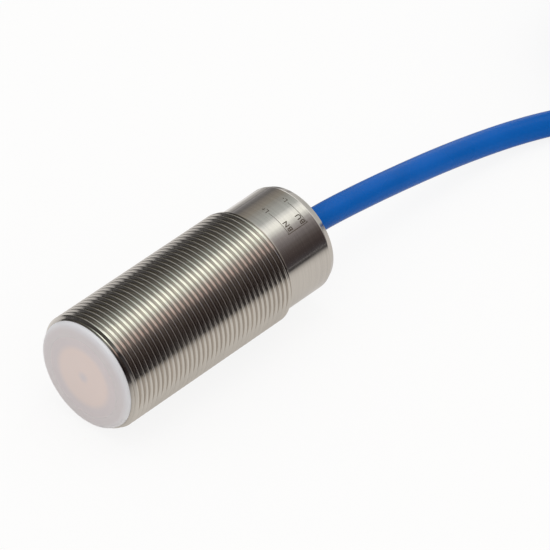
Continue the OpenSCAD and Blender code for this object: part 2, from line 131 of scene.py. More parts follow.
class CapSizes(bpy.types.PropertyGroup):
    """Sizes and colours of the sensing cap."""

    flange_t: length("Flange", "Thickness of the flange in front of the sleeve", 1.6 * MM,
                     min=0.5 * MM, max=4 * MM)
    edge_round: length("Edge rounding", "Rounding of the front edge", 1.5 * MM,
                       min=0.1 * MM, max=1.5 * MM)
    plastic: tint("Plastic", "Colour of the milky cap at its rim", (0.75, 0.755, 0.785))
    body: tint("Body tint", "Colour of the milky cap inside its rim", (0.66, 0.62, 0.63))
    window: tint("Window tint", "Colour of the thin front wall round the electrode",
                 (0.855, 0.785, 0.80))
    # The warm tint is painted on, in place of the copper disc seen through the wall
    warm: tint("Warm tint", "Colour of the thin front wall over the electrode",
               (0.985, 0.845, 0.80))
    clear: bpy.props.FloatProperty(
        name="Window clearness", description="How much light the thin front wall lets through",
        default=0.24, min=0, max=1, subtype="FACTOR")
    disc: tint("Electrode", "Colour of the copper disc behind the cap", (0.95, 0.66, 0.50))
    guard: tint("Guard ring", "Colour of the tinned ring and the pin's head",
                (0.2, 0.21, 0.26))


class LeadSizes(bpy.types.PropertyGroup):
    """Sizes and colours of the lead and its hank."""

    cable_d: length("Cable", "Outside diameter of the jacket", 6.5 * MM,
                    min=3 * MM, max=10 * MM)
    core_d: length("Core", "Outside diameter of an insulated core", 2 * MM,
                   min=1 * MM, max=3 * MM)
    hank_x: length("Hank middle", "Middle of the hank across the sensor's axis", 6 * MM)
    hank_y: length("Hank front", "Centre of the hank's front fold", 168 * MM)
    run: length("Run", "Length of the straight runs", 54 * MM)
    fold_r: length("Fold radius", "Radius of the inner turn's folds", 19.5 * MM)
    lift: length("Lift", "Thickness of the ties under the hank", 0.8 * MM)
    jacket: tint("Jacket", "Colour of the cable's jacket", (0.0002, 0.106, 0.44))


class StageSizes(bpy.types.PropertyGroup):
    """The floor, the light and the camera."""

    lens: bpy.props.FloatProperty(
        name="Lens", description="Focal length on a 36 mm sensor", default=327.3, min=20,
        max=1000)
    floor_size: length("Floor", "Side of the floor", 8.0, min=1, max=50)
    light_level: bpy.props.FloatProperty(
        name="Light level", description="Strength of the soft light from all round",
        default=0.80, min=0, max=2)


class SensorLooks(bpy.types.PropertyGroup):
    """All that a user would change."""

    sleeve: bpy.props.PointerProperty(type=SleeveSizes)
    cap: bpy.props.PointerProperty(type=CapSizes)
    lead: bpy.props.PointerProperty(type=LeadSizes)
    stage: bpy.props.PointerProperty(type=StageSizes)


def spot(context):
    """Gives the scene's property groups in one short name."""
    return context.scene.sensor_looks


def bore_radius(sleeve):
    """The radius of the bore in which both end pieces sit."""
    return CREST_R - sleeve.collar_drop - sleeve.wall


# Helpers for meshes


def deselect():
    """Goes to object mode with nothing selected, ready to pick vertices."""
    if bpy.context.object and bpy.context.object.mode != "OBJECT":
        bpy.ops.object.mode_set(mode="OBJECT")
    bpy.ops.object.select_all(action="DESELECT")
    bpy.context.tool_settings.mesh_select_mode = (True, False, False)


def pick(obj):
    """Makes one object the only selected and active one."""
    deselect()
    obj.select_set(True)
    bpy.context.view_layer.objects.active = obj


def edit_all(obj):
    """Goes to edit mode with the whole mesh selected."""
    pick(obj)
    bpy.ops.object.mode_set(mode="EDIT")
    bpy.ops.mesh.select_all(action="SELECT")


def choose(obj, kind, test):
    """In edit mode, selects the edges or faces that pass a test."""
    bpy.ops.mesh.select_mode(type=kind)
    bpy.ops.mesh.select_all(action="DESELECT")
    mesh = bmesh.from_edit_mesh(obj.data)
    for element in mesh.edges if kind == "EDGE" else mesh.faces:
        element.select = test(element)
    bmesh.update_edit_mesh(obj.data)


def settle(obj):
    """Puts the object at the origin and its place in its mesh."""
    pick(obj)
    bpy.ops.object.transform_apply(location=True, rotation=True, scale=True)


def outline(name, points, closed):
    """Draws a profile as by hand: one vertex, extruded from point to point."""
    deselect()
    bpy.ops.mesh.primitive_plane_add(size=MM, location=points[0])
    obj = bpy.context.object
    obj.name = name
    bpy.ops.object.mode_set(mode="EDIT")
    bpy.ops.mesh.merge(type="CENTER")
    stops = [*points, points[0]] if closed else points
    for a, b in zip(stops, stops[1:]):
        step = Vector(b) - Vector(a)
        bpy.ops.mesh.extrude_region_move(TRANSFORM_OT_translate={"value": step})
    if closed:
        bpy.ops.mesh.select_all(action="SELECT")
        bpy.ops.mesh.remove_doubles(threshold=WELD)
    bpy.ops.object.mode_set(mode="OBJECT")
    settle(obj)
    return obj


def turned(name, profile, steps=128):
    """Turns (radius, y) points that go once round a section about the sensor's axis."""
    obj = outline(name, [(r, y, AXIS_Z) for r, y in profile], closed=True)
    edit_all(obj)
    bpy.ops.mesh.spin(
        steps=steps, angle=math.tau, center=(0, 0, AXIS_Z), axis=(0, 1, 0), dupli=False)
    bpy.ops.mesh.select_all(action="SELECT")
    bpy.ops.mesh.remove_doubles(threshold=WELD)
    bpy.ops.mesh.normals_make_consistent(inside=False)
    bpy.ops.object.mode_set(mode="OBJECT")
    smooth(obj)
    return obj


def block(middle, size):
    """Adds a cube at its place with the length of its three sides."""
    deselect()
    bpy.ops.mesh.primitive_cube_add(size=1, location=middle)
    obj = bpy.context.object
    obj.scale = size
    settle(obj)
    return obj


def joined(pieces, name):
    """Joins pieces into the first of them."""
    pick(pieces[0])
    for piece in pieces:
        piece.select_set(True)
    bpy.ops.object.join()
    pieces[0].name = name
    return pieces[0]


def smooth(obj, angle=30):
    """Shades round stretches smooth and keeps the edges."""
    pick(obj)
    bpy.ops.object.shade_smooth_by_angle(angle=math.radians(angle))


def modify(obj, name, kind, **settings):
    """Adds a modifier with its settings."""
    modifier = obj.modifiers.new(name, kind)
    for key, value in settings.items():
        setattr(modifier, key, value)


def apply_modifiers(obj):
    """Applies all of an object's modifiers in order."""
    pick(obj)
    for modifier in list(obj.modifiers):
        bpy.ops.object.modifier_apply(modifier=modifier.name)


def dress(obj, material, *, replaces=()):
    """Gives a piece its material and its place in the frame."""
    obj.data.materials.clear()
    obj.data.materials.append(material)
    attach(obj, BODY)
    if replaces:
        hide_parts(*replaces)
    return obj


# Helpers for materials


class Net:
    """A node tree with short calls that add its nodes and give their outputs."""

    def __init__(self, tree):
        self.tree = tree

    def feed(self, value, socket):
        """Links an output to an input, or sets the input to a number or a colour."""
        if isinstance(value, bpy.types.NodeSocket):
            self.tree.links.new(value, socket)
        elif isinstance(value, (int, float)):
            socket.default_value = value
        else:
            socket.default_value = (*value, 1)[:len(socket.default_value)]

    def add(self, kind, inputs=(), **settings):
        """Adds a node with its settings, and feeds its inputs by name or place."""
        node = self.tree.nodes.new(kind)
        for key, value in settings.items():
            setattr(node, key, value)
        for key, value in dict(inputs).items():
            self.feed(value, node.inputs[key])
        return node

    def calc(self, operation, *values):
        return self.add("ShaderNodeMath", enumerate(values), operation=operation).outputs[0]

    def times(self, a, b):
        return self.calc("MULTIPLY", a, b)

    def plus(self, a, b):
        return self.calc("ADD", a, b)

    def place(self):
        """The Object coordinates, whole and as X, Y and Z."""
        whole = self.add("ShaderNodeTexCoord").outputs["Object"]
        return (whole, *self.add("ShaderNodeSeparateXYZ", {0: whole}).outputs)

    def noise(self, vector, scale, detail=2.0, roughness=0.5):
        inputs = {"Vector": vector, "Scale": scale, "Detail": detail, "Roughness": roughness}
        return self.add("ShaderNodeTexNoise", inputs).outputs["Fac"]

    def spread(self, value, low, high, to_low=0.0, to_high=1.0):
        """Maps a value from one range to another, clamped and eased."""
        inputs = {"Value": value, "From Min": low, "From Max": high, "To Min": to_low,
                  "To Max": to_high}
        node = self.add("ShaderNodeMapRange", inputs, interpolation_type="SMOOTHSTEP")
        return node.outputs["Result"]

    def mix(self, factor, a, b, blend="MIX"):
        """Mixes two colours, for which a Mix node has its inputs 6 and 7."""
        node = self.add("ShaderNodeMix", {0: factor}, data_type="RGBA", blend_type=blend)
        self.feed(a, node.inputs[6])
        self.feed(b, node.inputs[7])
        return node.outputs[2]

    def layers(self, tone, *steps):
        """A tone and its changes: along what, from where, to where and into which tone."""
        for along, start, end, following in steps:
            tone = self.mix(self.spread(along, start, end), tone, following)
        return tone

    def shaded(self, colour, level):
        """A colour times a grey level."""
        grey = self.add("ShaderNodeCombineColor", {0: level, 1: level, 2: level})
        return self.mix(1.0, colour, grey.outputs[0], "MULTIPLY")

    def group(self, name, **values):
        """Places a shared group, which is built the first time it is asked for."""
        tree = bpy.data.node_groups.get(name) or GROUP_MAKERS[name]()
        inputs = {key.capitalize(): value for key, value in values.items()}
        return self.add("ShaderNodeGroup", inputs, node_tree=tree).outputs


class Sheet(Net):
    """A material with its node tree, its shader's inputs and its surface."""

    def __init__(self, name):
        self.material = bpy.data.materials.new(name)
        self.material.use_nodes = True
        super().__init__(self.material.node_tree)
        shader = self.tree.nodes["Principled BSDF"]
        self.shader = shader.inputs
        self.own_look = shader.outputs[0]
        self.surface = self.tree.nodes["Material Output"].inputs["Surface"]

    def set(self, **values):
        """Sets or links the shader's inputs by name."""
        for key, value in values.items():
            name = key.replace("_", " ").title().replace("Ior", "IOR")
            self.feed(value, self.shader[name])

    def bump(self, height, strength, distance):
        inputs = {"Strength": strength, "Distance": distance, "Height": height}
        self.set(normal=self.add("ShaderNodeBump", inputs).outputs["Normal"])

    def glow(self, colour, strength=1.0):
        inputs = {"Color": colour, "Strength": strength}
        return self.add("ShaderNodeEmission", inputs).outputs[0]

    def blend(self, factor, first, second):
        inputs = {0: factor, 1: first, 2: second}
        return self.add("ShaderNodeMixShader", inputs).outputs[0]


def new_group(name, inputs, outputs):
    """Starts a shared node group: inputs with their defaults, outputs with their kinds."""
    tree = bpy.data.node_groups.new(name, "ShaderNodeTree")
    for label, default in inputs.items():
        kind = "NodeSocketColor" if isinstance(default, tuple) else "NodeSocketFloat"
        socket = tree.interface.new_socket(name=label, in_out="INPUT", socket_type=kind)
        socket.default_value = (*default, 1) if isinstance(default, tuple) else default
    for label, kind in outputs.items():
        tree.interface.new_socket(name=label, in_out="OUTPUT", socket_type="NodeSocket" + kind)
    net = Net(tree)
    return net, net.add("NodeGroupInput").outputs, net.add("NodeGroupOutput").inputs


def make_grain():
    """Shared group: the fine grain of a moulded or cast surface."""
    net, given, result = new_group(
        "moulded grain", {"Scale": 2500.0, "Drift": 0.06, "Colour": (0.5, 0.5, 0.5)},
        {"Height": "Float", "Tone": "Color", "Gloss": "Float"})
    place, *_ = net.place()
    broad = net.noise(place, 60.0)
    level = net.spread(broad, 0.3, 0.7, net.calc("SUBTRACT", 1.0, given["Drift"]),
                       net.plus(1.0, given["Drift"]))
    net.feed(net.noise(place, given["Scale"], 3.0, 0.6), result["Height"])
    net.feed(net.shaded(given["Colour"], level), result["Tone"])
    net.feed(net.spread(broad, 0.25, 0.75), result["Gloss"])
    return net.tree


def make_reach():
    """Shared group: how far a point lies from the sensor's axis."""
    net, _, result = new_group("distance from the axis", {}, {"Radius": "Float"})
    _, x, _, z = net.place()
    high = net.calc("SUBTRACT", z, AXIS_Z)
    square = net.plus(net.times(x, x), net.times(high, high))
    net.feed(net.calc("SQRT", square), result["Radius"])
    return net.tree


def make_turning():
    """Shared group: the rings that a lathe tool leaves along the sensor's axis."""
    net, given, result = new_group(
        "turning marks", {"Scale": 9000.0, "Colour": (0.6, 0.6, 0.6), "Shade": 0.1},
        {"Height": "Float", "Tone": "Color", "Gloss": "Float"})
    place, _, y, _ = net.place()
    along = net.plus(y, net.group("distance from the axis")["Radius"])
    wander = net.times(net.noise(place, 40.0), 0.6 * MM)
    lines = net.add("ShaderNodeCombineXYZ", {0: along, 1: wander}).outputs[0]
    fine = net.noise(lines, given["Scale"], 2.0, 0.7)
    coarse = net.noise(lines, 1900.0, 2.0, 0.6)
    rings = net.plus(net.times(fine, 0.6), net.times(coarse, 0.4))
    level = net.spread(rings, 0.35, 0.6, net.calc("SUBTRACT", 1.0, given["Shade"]), 1.0)
    smear = net.noise(place, 110.0, 4.0, 0.6)
    net.feed(rings, result["Height"])
    net.feed(net.shaded(given["Colour"], level), result["Tone"])
    net.feed(net.spread(smear, 0.35, 0.7), result["Gloss"])
    return net.tree


GROUP_MAKERS = {
    "moulded grain": make_grain,
    "distance from the axis": make_reach,
    "turning marks": make_turning,
}


def steel_material(name, colour, thread_to, rough=(0.09, 0.15)):
    """Turned stainless steel with ring marks, faint smears and painted shade in the roots of its
    thread.
    """
    sheet = Sheet(name)
    marks = sheet.group("turning marks", scale=7000.0, shade=0.1, colour=colour)
    radius = sheet.group("distance from the axis")["Radius"]
    _, _, y, _ = sheet.place()
    # Painted shade: the thread's roots are darkened towards a dark brown-grey, on the thread only,
    # not on the collar
    painted_root_shade = sheet.spread(radius, CREST_R - 0.8 * MM, CREST_R - 0.3 * MM, 0.2, 0.0)
    threaded = sheet.spread(y, thread_to - 0.5 * MM, thread_to, 1.0, 0.0)
    tone = sheet.mix(sheet.times(painted_root_shade, threaded), marks["Tone"], (0.22, 0.2, 0.18))
    gloss = sheet.spread(marks["Gloss"], 0.0, 1.0, *rough)
    sheet.set(base_color=tone, roughness=gloss, metallic=1.0)
    sheet.bump(marks["Height"], 0.12, 0.02 * MM)
    return sheet.material


def grained_material(name, colour, rough=(0.4, 0.55), grain=2500.0, bump=0.25, depth=0.03 * MM,
                     drift=0.06, **more):
    """A moulded, cast or plated surface with a fine grain and a slight drift of tone."""
    sheet = Sheet(name)
    grains = sheet.group("moulded grain", scale=grain, drift=drift, colour=colour)
    gloss = sheet.spread(grains["Gloss"], 0.0, 1.0, *rough)
    sheet.set(base_color=grains["Tone"], roughness=gloss, **more)
    sheet.bump(grains["Height"], bump, depth)
    return sheet.material


# The stage

# The tent's tones as shiny surfaces see them: degrees from +X over the top, then R, G, B
TENT_TONES = (
    (0, 0.053, 0.048, 0.053), (14, 0.046, 0.037, 0.037), (26, 0.065, 0.053, 0.052),
    (36, 0.1, 0.087, 0.086), (46, 0.16, 0.145, 0.148), (57, 0.24, 0.222, 0.225),
    (66, 0.37, 0.36, 0.36), (74, 0.64, 0.65, 0.63), (82, 0.92, 0.94, 0.9),
    (90, 0.92, 0.94, 0.91), (97, 0.72, 0.74, 0.73), (104, 0.46, 0.48, 0.475),
    (112, 0.39, 0.41, 0.40), (120, 0.35, 0.36, 0.35), (130, 0.29, 0.29, 0.275),
    (141, 0.25, 0.235, 0.21), (153, 0.2, 0.185, 0.17), (165, 0.14, 0.135, 0.135),
    (174, 0.18, 0.175, 0.18), (180, 0.32, 0.31, 0.32),
)
TENT_STRENGTH = 1.3

# Where the camera stands and what it looks at, and each lamp's name, place, aim, size and power
CAMERA = ((0.62864, -0.64229, 0.77105), (0.00699, 0.02024, 0.015))
LAMPS = (
    ("softbox", (0.05, 0.62, 1.2), (0.0, 0.1, 0.0), (0.50, 1.4), 1.55),
    ("top light", (-0.1, 0.1, 1.6), (0, 0, 0.0), (1.6, 1.6), 3.5),
)


def facing(place, aim):
    """The turn that makes a camera or a lamp look at its aim."""
    return (Vector(aim) - Vector(place)).to_track_quat("-Z", "Y").to_euler()


class SENSOR_OT_stage(bpy.types.Operator):
    """Sets the floor, the light and the camera"""

    bl_idname = "sensor.stage"
    bl_label = "Stage"

    def execute(self, context):
        stage = spot(context).stage
        self.camera(context, stage)
        self.floor(stage)
        self.world(context, stage)
        self.tent()
        self.lamps()
        return {"FINISHED"}

    def camera(self, context, stage):
        deselect()
        bpy.ops.object.camera_add(location=CAMERA[0], rotation=facing(*CAMERA))
        camera = context.object
        camera.data.sensor_width = 36
        camera.data.lens = stage.lens
        camera.data.clip_start = 0.05
        camera.data.clip_end = 50
        context.scene.camera = camera

    def floor(self, stage):
        """A white table: shiny surfaces see painted tones on it, light near the object and dark
        farther off.
        """
        deselect()
        bpy.ops.mesh.primitive_plane_add(size=stage.floor_size, location=(0, 0, 0))
        floor = bpy.context.object
        floor.name = "floor"
        sheet = Sheet("pale floor")
        sheet.set(base_color=(0.90, 0.875, 0.84), roughness=0.9)
        path = sheet.add("ShaderNodeLightPath").outputs
        _, x, y, _ = sheet.place()
        # How far off a point counts, by its distance to the right, to the left and in front
        left = sheet.calc("MAXIMUM", sheet.times(x, -1.0), 0.0)
        left = sheet.times(sheet.calc("POWER", left, 0.55), 0.215)
        front = sheet.times(y, sheet.spread(x, -0.04, 0.01, -0.3, -1.5))
        reach = sheet.calc("MAXIMUM", sheet.calc("MAXIMUM", x, left), front)
        far = sheet.times(sheet.spread(reach, 0.04, 0.19, 0.07), path["Is Glossy Ray"])
        distant = sheet.layers((0.055, 0.052, 0.055), (y, 0.1, 1.2, (0.42, 0.41, 0.41)))
        # Painted lit tones: its left side from front to back, painted shade under the sensor, and
        # behind
        under = sheet.layers((0.86, 0.83, 0.79), (y, 0.0, 0.045, (0.72, 0.69, 0.66)))
        near = sheet.layers(
            (0.98, 0.97, 0.97),
            (y, 0.055, 0.097, (0.36, 0.35, 0.35)),
            (y, 0.12, 0.17, (0.6, 0.59, 0.58)),
            (x, -0.035, -0.005, under),
            (y, 0.2, 0.6, (0.52, 0.51, 0.5)))
        # A dark patch on the left that only the chamfer of the rear rim sees
        patch = sheet.spread(sheet.plus(sheet.times(x, 1.62), y), -0.02, -0.008)
        patch = sheet.times(patch, sheet.spread(y, 0.052, 0.062))
        patch = sheet.times(patch, sheet.spread(y, 0.11, 0.14, 1.0, 0.0))
        patch = sheet.times(patch, sheet.spread(x, -0.035, -0.005, 1.0, 0.0))
        near = sheet.mix(patch, near, (0.25, 0.245, 0.24))
        # How much of these tones lies over the table's own white
        share = sheet.calc("MAXIMUM", sheet.spread(y, 0.05, 0.3, 0.6, 1.0), patch)
        look = sheet.blend(sheet.times(path["Is Glossy Ray"], share), sheet.own_look,
                           sheet.glow(near))
        look = sheet.blend(far, look, sheet.glow(distant))
        seen = sheet.plus(path["Is Camera Ray"], path["Is Transmission Ray"])
        look = sheet.blend(sheet.times(seen, 0.87), look, sheet.glow((1, 1, 1)))
        sheet.feed(look, sheet.surface)
        floor.data.materials.append(sheet.material)

    def world(self, context, stage):
        """An even room, white where the camera or a shiny or clear surface sees it."""
        world = bpy.data.worlds.new("soft room")
        context.scene.world = world
        world.use_nodes = True
        net = Net(world.node_tree)
        path = net.add("ShaderNodeLightPath").outputs
        seen = net.plus(path["Is Camera Ray"], path["Is Glossy Ray"])
        seen = net.calc("MINIMUM", net.plus(seen, path["Is Transmission Ray"]), 1.0)
        back = net.tree.nodes["Background"].inputs
        net.feed(net.spread(seen, 0.0, 1.0, stage.light_level, 1.0), back["Strength"])
        net.feed((1, 1, 1), back["Color"])
        context.scene.view_settings.view_transform = "Standard"

    def tent(self):
        """Grey panels round the table, which only shiny surfaces see."""
        deselect()
        bpy.ops.mesh.primitive_cylinder_add(vertices=96, radius=1.5, depth=5, location=(0, 0.3, 0),
                                            rotation=(math.radians(90), 0, 0))
        tent = bpy.context.object
        tent.name = "tent"
        settle(tent)
        edit_all(tent)
        bpy.ops.mesh.bisect(plane_co=(0, 0, 0.002), plane_no=(0, 0, 1), clear_inner=True)
        bpy.ops.object.mode_set(mode="OBJECT")
        for ray in ("camera", "diffuse", "shadow", "transmission", "volume_scatter"):
            setattr(tent, "visible_" + ray, False)
        sheet = Sheet("tent panels")
        _, x, y, z = sheet.place()
        angle = sheet.calc("DIVIDE", sheet.calc("ARCTAN2", z, x), math.pi)
        ramp = sheet.add("ShaderNodeValToRGB", {0: angle})
        band = ramp.color_ramp
        band.interpolation = "EASE"
        while len(band.elements) < len(TENT_TONES):
            band.elements.new(0.5)
        for stop, (degrees, *tone) in zip(band.elements, TENT_TONES):
            stop.position = degrees / 180
            stop.color = (*tone, 1)
        # A strip of the cloth behind the object is lit, and all beyond it is plain grey
        cloth = sheet.layers((0.22, 0.2, 0.2), (angle, 25 / 180, 75 / 180, (1, 1, 1)))
        end = sheet.layers((0.2, 0.19, 0.19), (angle, 4 / 180, 24 / 180, (0.47, 0.47, 0.46)))
        panels = sheet.layers(ramp.outputs[0], (y, 1.4, 1.7, cloth), (y, 2.05, 2.3, end))
        level = sheet.spread(y, 0.1, 0.8, 0.3 * TENT_STRENGTH, TENT_STRENGTH)
        # A bright panel over the front, which only the rounded edges of the crests see: warm on
        # the right and faintly green on the left
        front = sheet.times(sheet.spread(y, 0.05, 0.4, 1.0, 0.0), sheet.spread(y, -0.9, -0.5))
        hue = sheet.layers((1.68, 1.34, 1.17), (angle, 56 / 180, 76 / 180, (0.94, 1.0, 0.92)))
        bright = sheet.times(front, sheet.spread(angle, 43.5 / 180, 55 / 180))
        bright = sheet.times(bright, sheet.spread(angle, 96 / 180, 127 / 180, 3.0, 0.0))
        colour = sheet.mix(front, panels, hue, "MULTIPLY")
        sheet.feed(sheet.glow(colour, sheet.plus(level, bright)), sheet.surface)
        tent.data.materials.append(sheet.material)

    def lamps(self):
        """Two soft lamps from above, which shiny surfaces see as the tent's bright cloth."""
        for name, place, aim, size, power in LAMPS:
            deselect()
            bpy.ops.object.light_add(type="AREA", location=place, rotation=facing(place, aim))
            lamp = bpy.context.object
            lamp.name = name
            lamp.data.shape = "RECTANGLE"
            lamp.data.size, lamp.data.size_y = size
            lamp.data.energy = power
            lamp.visible_glossy = False


# The lead


def ease(t):
    """Goes from 0 to 1 with flat ends."""
    t = min(max(t, 0.0), 1.0)
    return (1 - math.cos(math.pi * t)) / 2


def relaxed(curve, passes=90, grip=20 * MM):
    """Evens out a curve's small steps as a stiff jacket does, less and less towards its ends."""
    start, end = curve[0], curve[-1]
    curve = list(curve)
    hold = [ease(min((p - start).length, (p - end).length) / grip) for p in curve]
    for _ in range(passes):
        middles = [(a + c) / 2 for a, c in zip(curve, curve[2:])]
        for index, middle in enumerate(middles, start=1):
            curve[index] = curve[index].lerp(middle, 0.5 * hold[index])
    return curve


def rounded_route(points, per_span=4):
    """Runs a smooth curve through the route's points."""
    pts = [Vector(p) for p in points]
    pts = [2 * pts[0] - pts[1], *pts, 2 * pts[-1] - pts[-2]]
    curve = []
    for a, b, c, d in zip(pts, pts[1:], pts[2:], pts[3:]):
        for k in range(per_span):
            t = k / per_span
            curve.append(0.5 * (2 * b + (c - a) * t + (2 * a - 5 * b + 4 * c - d) * t ** 2
                                + (3 * b - a - 3 * c + d) * t ** 3))
    curve.append(pts[-2])
    return curve


class Winding:
    """The hank: where each turn lies along the middle of the track."""

    # Turn by turn, the track (1 outer, 0 inner) and the layer that the cable lies in
    TRACKS = ((1, 0), (0, 0), (0, 1), (1, 1), (1, 2), (0, 2), (0, 3), (1, 3))
    # A change of track is this long. The last one starts this far into the far fold, and each
    # one before it starts a step later, so that they lie side by side
    CHANGE = 44 * MM
    LAST_CHANGE = 4 * MM
    CHANGE_STEP = 13 * MM
    # The ties draw the outer turns in over this distance
    DRAWN_IN = 14 * MM

    def __init__(self, lead):
        self.d = lead.cable_d
        self.mid_r = lead.fold_r + self.d / 2
        self.run = lead.run
        self.fold = math.pi * self.mid_r
        self.lap = 2 * (self.run + self.fold)
        self.centre = Vector((lead.hank_x, lead.hank_y, 0))
        self.low = lead.lift + self.d / 2
        self.tie_t = lead.lift
        self.tie_at = TIE_Y - lead.hank_y

    def at(self, p, side, layer):
        """The point p along the lap, with side from -1 inside to 1 outside."""
        r = self.mid_r + side * self.d / 2
        z = self.low + layer * self.d
        along = p if p < self.run else 2 * self.run + self.fold - p
        near = abs(along - self.tie_at) / self.DRAWN_IN
        if near < 1:
            r -= max(side, 0) * self.tie_t * (1 + math.cos(math.pi * near)) / 2
        if p < self.run:
            return self.centre + Vector((r, p, z))
        if p < self.run + self.fold:
            a = (p - self.run) / self.mid_r
            return self.centre + Vector((r * math.cos(a), self.run + r * math.sin(a), z))
        if p < 2 * self.run + self.fold:
            return self.centre + Vector((-r, 2 * self.run + self.fold - p, z))
        a = math.pi + (p - 2 * self.run - self.fold) / self.mid_r
        return self.centre + Vector((r * math.cos(a), r * math.sin(a), z))

    def turn(self, index, upto, step):
        """The points of one turn, which moves to the next turn's track on its way."""
        last = len(self.TRACKS) - 1
        start = self.run + self.LAST_CHANGE + (last - 1 - index) * self.CHANGE_STEP
        here, then = self.TRACKS[index], self.TRACKS[min(index + 1, last)]
        points = []
        p = 0.0
        while p < upto:
            e = ease((p - start) / self.CHANGE)
            track = here[0] + (then[0] - here[0]) * e
            layer = here[1] + (then[1] - here[1]) * e
            points.append(self.at(p, 2 * track - 1, layer))
            p += step
        return points


def lead_path(lead):
    """The cable's middle from the boss to the cut end of the jacket."""
    winding = Winding(lead)
    path = relaxed(rounded_route(ROUTE))
    # Straight on from the route until level with the fold's centre, in a few steps
    join = Vector(ROUTE[-1])
    way = (join - Vector(ROUTE[-2])).normalized()
    from_centre = winding.centre - join
    from_centre.z = 0
    straight = from_centre.dot(way)
    steps = 6
    path += [join + way * straight * k / steps for k in range(1, steps)]
    # Round the fold's outside, up onto the ties' thickness
    first = math.atan2(*reversed((join + way * straight - winding.centre)[:2]))
    outer = winding.mid_r + winding.d / 2
    for k in range(steps):
        a = first * (1 - k / steps)
        z = winding.d / 2 + (winding.low - winding.d / 2) * ease(k / steps)
        path.append(Vector((winding.centre.x + outer * math.cos(a),
                            winding.centre.y + outer * math.sin(a), z)))
    # Seven whole turns and the start of the eighth, where the jacket is cut
    step = 3 * MM
    cut_at = 28 * MM
    for index in range(7):
        path += winding.turn(index, winding.lap - step / 2, step)
    path += winding.turn(7, cut_at, step)
    path.append(winding.at(cut_at, side=1, layer=3))
    return path


def tube(name, points, radius, sides):
    """A round cord along points, as one open spline with closed ends."""
    data = bpy.data.curves.new(name, "CURVE")
    data.dimensions = "3D"
    spline = data.splines.new("POLY")
    spline.points.add(len(points) - 1)
    for knot, p in zip(spline.points, points):
        knot.co = (*p, 1)
    spline.use_smooth = True
    data.bevel_depth = radius
    data.bevel_resolution = sides
    data.use_fill_caps = True
    obj = bpy.data.objects.new(name, data)
    bpy.context.scene.collection.objects.link(obj)
    return obj


class SENSOR_OT_lead(bpy.types.Operator):
    """Lays the lead and winds its unseen length into a tied hank"""

    bl_idname = "sensor.lead"
    bl_label = "Lead"

    def execute(self, context):
        lead = spot(context).lead
        cable = tube("lead_jacket", lead_path(lead), lead.cable_d / 2, sides=6)
        jacket = grained_material("satin blue jacket", lead.jacket, (0.24, 0.32), grain=1800.0,
                                  bump=0.2, drift=0.05, specular_ior_level=0.12)
        dress(cable, jacket, replaces=("cable", "cable_hank"))
        return {"FINISHED"}


class SENSOR_OT_ties(bpy.types.Operator):
    """Straps the hank with two nylon ties"""

    bl_idname = "sensor.ties"
    bl_label = "Hank ties"

    # Sizes of the strap, across the hank and along it, and of the lock on top of it
    LOOP_W = 13.8 * MM
    STRAP_W = 3.6 * MM
    STRAP_CORNER = 3.6 * MM
    LOCK = (5 * MM, 5.4 * MM, 2.2 * MM)
    TAIL = (4.4 * MM, 3.4 * MM, 0.8 * MM)
    TAIL_OUT = 2.9 * MM

    def execute(self, context):
        lead = spot(context).lead
        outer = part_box("hank_ties")[1][0]
        inner = outer - self.LOOP_W
        mirror = 2 * lead.hank_x
        parts = []
        for low, high in ((inner, outer), (mirror - outer, mirror - inner)):
            middle = (low + high) / 2
            lock_z = HANK_TOP + lead.lift + self.LOCK[2] / 2
            parts.append(self.strap(low, high, lead.lift))
            parts.append(self.head((middle, TIE_Y, lock_z)))
            # The cut end of the strap, just outside the lock
            tail = block((middle + self.TAIL_OUT, TIE_Y, lock_z), self.TAIL)
            modify(tail, "edges", "BEVEL", width=0.12 * MM, segments=2)
            apply_modifiers(tail)
            parts.append(tail)
        ties = joined(parts, "nylon_ties")
        smooth(ties, 35)
        nylon = grained_material("natural nylon", (0.78, 0.78, 0.74), (0.35, 0.5), grain=1500,
                                 bump=0.1, subsurface_weight=0.25, subsurface_scale=1 * MM)
        dress(ties, nylon, replaces=("hank_ties",))
        return {"FINISHED"}

    def strap(self, low, high, thick):
        """The loop: a block with rounded corners, opened at both sides and given its thickness."""
        height = HANK_TOP + thick
        strap = block(((low + high) / 2, TIE_Y, height / 2), (high - low, self.STRAP_W, height))
        bpy.ops.object.mode_set(mode="EDIT")
        choose(strap, "EDGE", lambda edge: abs(edge.verts[0].co.y - edge.verts[1].co.y)
               > 0.5 * self.STRAP_W)
        bpy.ops.mesh.bevel(offset=self.STRAP_CORNER, segments=8, affect="EDGES")
        choose(strap, "FACE", lambda face: abs(face.normal.y) > 0.9)
        bpy.ops.mesh.delete(type="FACE")
        bpy.ops.object.mode_set(mode="OBJECT")
        modify(strap, "thickness", "SOLIDIFY", thickness=thick, offset=-1)
        modify(strap, "edges", "BEVEL", width=0.15 * MM, segments=2)
        apply_modifiers(strap)
        return strap

    def head(self, middle):
        """The lock with the mouth that the strap leaves by."""
        head = block(middle, self.LOCK)
        bpy.ops.object.mode_set(mode="EDIT")
        choose(head, "FACE", lambda face: abs(face.normal.x) > 0.9)
        bpy.ops.mesh.inset(thickness=0.55 * MM, depth=0)
        bpy.ops.mesh.inset(thickness=0.0001 * MM, depth=-0.8 * MM, use_individual=True)
        bpy.ops.object.mode_set(mode="OBJECT")
        modify(head, "edges", "BEVEL", width=0.3 * MM, segments=3, limit_method="ANGLE")
        apply_modifiers(head)
        return head


